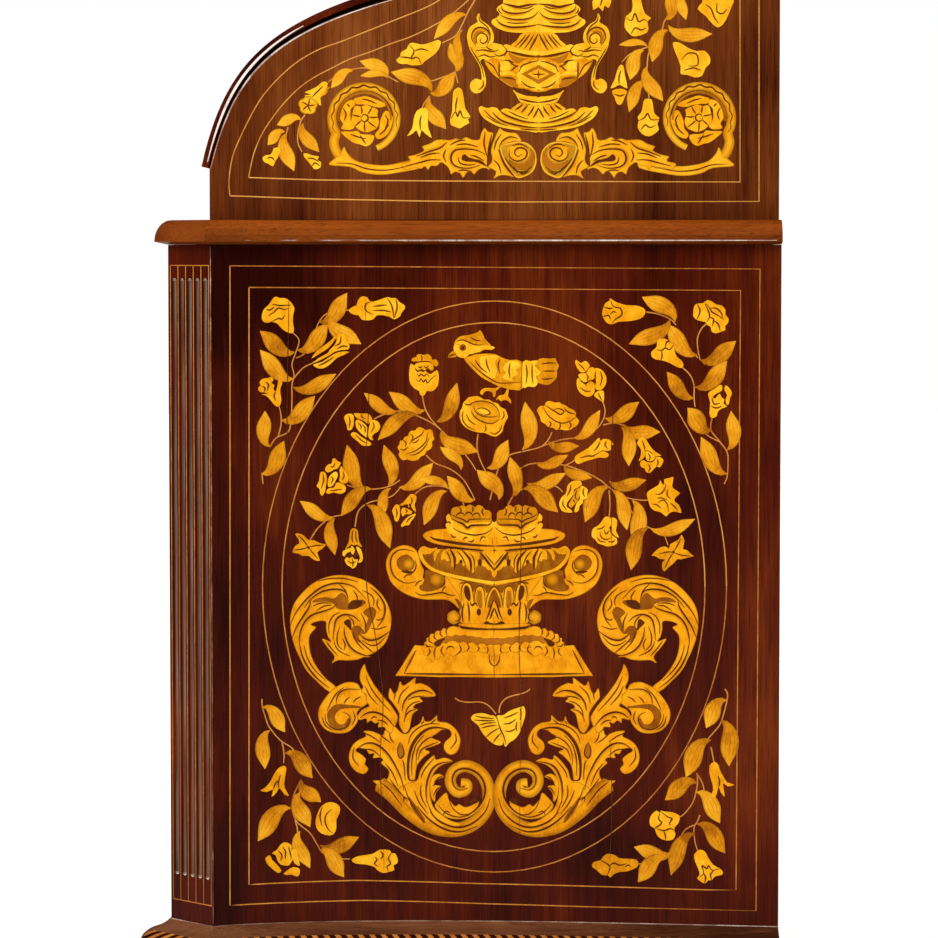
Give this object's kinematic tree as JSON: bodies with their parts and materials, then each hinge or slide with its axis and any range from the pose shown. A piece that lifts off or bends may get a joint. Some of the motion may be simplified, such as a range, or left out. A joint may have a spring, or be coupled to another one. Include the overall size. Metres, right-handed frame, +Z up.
{
  "type": "fall-front secretary",
  "caption": "Two-part secretary: a chest of long drawers with hollowed sides and fluted canted corners under a desk case whose ogee fall opens to a flat leather-lined writing surface.",
  "frame": {"origin": "on the floor under the middle of the whole piece", "axes": "+Z up, front towards -Y, +X to the right of someone facing the back from the front"},
  "size_m": [1.116, 0.598, 1.126],
  "materials": {
    "mahogany": "polished veneer with inlay",
    "oak": "planed and waxed",
    "brass": "lacquered",
    "leather": "tooled"
  },
  "bodies": {
    "case": {"base_bottom": "mahogany", "base_side_left": "mahogany", "base_side_right": "mahogany", "base_top": "mahogany", "bracket_foot_back_left": "mahogany", "bracket_foot_back_right": "mahogany", "bracket_foot_front_left": "mahogany", "bracket_foot_front_right": "mahogany", "corner_post_left": "mahogany", "corner_post_right": "mahogany", "desk_bed": "mahogany", "desk_rail": "mahogany", "desk_side_left": "mahogany", "desk_side_right": "mahogany", "desk_top": "mahogany", "dustboard_lower": "mahogany", "dustboard_upper": "mahogany", "nest_partition_left": "mahogany", "nest_partition_right": "mahogany", "nest_shelf": "mahogany", "nest_wall_left": "mahogany", "nest_wall_right": "mahogany", "pigeonhole_divider_left": "mahogany", "pigeonhole_divider_right": "mahogany", "plinth": "mahogany", "top_rail": "mahogany", "base_back": "oak", "desk_back": "oak", "hinge_left_bed_leaf": "brass", "hinge_right_bed_leaf": "brass", "hinge_left_pin": "brass", "hinge_right_pin": "brass"},
    "fall": {"fall_shell": "mahogany", "fall_writing_panel": "mahogany", "writing_leather": "leather", "hinge_left_fall_leaf": "brass", "hinge_right_fall_leaf": "brass"},
    "drawer_top": {"drawer_top_front": "mahogany", "drawer_top_box": "oak", "handle_plate_top_left": "brass", "handle_plate_top_right": "brass"},
    "bail_top_left": {"handle_bail_top_left": "brass"},
    "bail_top_right": {"handle_bail_top_right": "brass"},
    "drawer_middle": {"drawer_middle_front": "mahogany", "drawer_middle_box": "oak", "handle_plate_middle_left": "brass", "handle_plate_middle_right": "brass"},
    "bail_middle_left": {"handle_bail_middle_left": "brass"},
    "bail_middle_right": {"handle_bail_middle_right": "brass"},
    "drawer_bottom": {"drawer_bottom_front": "mahogany", "drawer_bottom_box": "oak", "handle_plate_bottom_left": "brass", "handle_plate_bottom_right": "brass"},
    "bail_bottom_left": {"handle_bail_bottom_left": "brass"},
    "bail_bottom_right": {"handle_bail_bottom_right": "brass"},
    "loper_left": {"loper_left": "mahogany"},
    "loper_right": {"loper_right": "mahogany"},
    "small_drawer_center": {"small_drawer_center": "mahogany"},
    "small_drawer_left": {"small_drawer_left": "mahogany"},
    "small_drawer_right": {"small_drawer_right": "mahogany"}
  },
  "joints": [
    {"name": "fall_hinge", "type": "hinge", "parent": "case", "child": "fall", "pos_m": [0, -0.2345, 0.7805], "axis": [1, 0, 0], "range_deg": [0, 145.4]},
    {"name": "drawer_top_slide", "type": "slide", "parent": "case", "child": "drawer_top", "axis": [0, -1, 0], "range_m": [0, 0.38]},
    {"name": "bail_top_left_hinge", "type": "hinge", "parent": "drawer_top", "child": "bail_top_left", "pos_m": [-0.28, -0.26, 0.6069], "axis": [-1, 0, 0], "range_deg": [0, 95]},
    {"name": "bail_top_right_hinge", "type": "hinge", "parent": "drawer_top", "child": "bail_top_right", "pos_m": [0.28, -0.26, 0.6069], "axis": [-1, 0, 0], "range_deg": [0, 95]},
    {"name": "drawer_middle_slide", "type": "slide", "parent": "case", "child": "drawer_middle", "axis": [0, -1, 0], "range_m": [0, 0.38]},
    {"name": "bail_middle_left_hinge", "type": "hinge", "parent": "drawer_middle", "child": "bail_middle_left", "pos_m": [-0.28, -0.26, 0.4129], "axis": [-1, 0, 0], "range_deg": [0, 95]},
    {"name": "bail_middle_right_hinge", "type": "hinge", "parent": "drawer_middle", "child": "bail_middle_right", "pos_m": [0.28, -0.26, 0.4129], "axis": [-1, 0, 0], "range_deg": [0, 95]},
    {"name": "drawer_bottom_slide", "type": "slide", "parent": "case", "child": "drawer_bottom", "axis": [0, -1, 0], "range_m": [0, 0.38]},
    {"name": "bail_bottom_left_hinge", "type": "hinge", "parent": "drawer_bottom", "child": "bail_bottom_left", "pos_m": [-0.28, -0.26, 0.1969], "axis": [-1, 0, 0], "range_deg": [0, 95]},
    {"name": "bail_bottom_right_hinge", "type": "hinge", "parent": "drawer_bottom", "child": "bail_bottom_right", "pos_m": [0.28, -0.26, 0.1969], "axis": [-1, 0, 0], "range_deg": [0, 95]},
    {"name": "loper_left_slide", "type": "slide", "parent": "case", "child": "loper_left", "axis": [0, -1, 0], "range_m": [0, 0.2]},
    {"name": "loper_right_slide", "type": "slide", "parent": "case", "child": "loper_right", "axis": [0, -1, 0], "range_m": [0, 0.2]},
    {"name": "small_drawer_center_slide", "type": "slide", "parent": "case", "child": "small_drawer_center", "axis": [0, -1, 0], "range_m": [0, 0.14]},
    {"name": "small_drawer_left_slide", "type": "slide", "parent": "case", "child": "small_drawer_left", "axis": [0, -1, 0], "range_m": [0, 0.14]},
    {"name": "small_drawer_right_slide", "type": "slide", "parent": "case", "child": "small_drawer_right", "axis": [0, -1, 0], "range_m": [0, 0.14]}
  ]
}
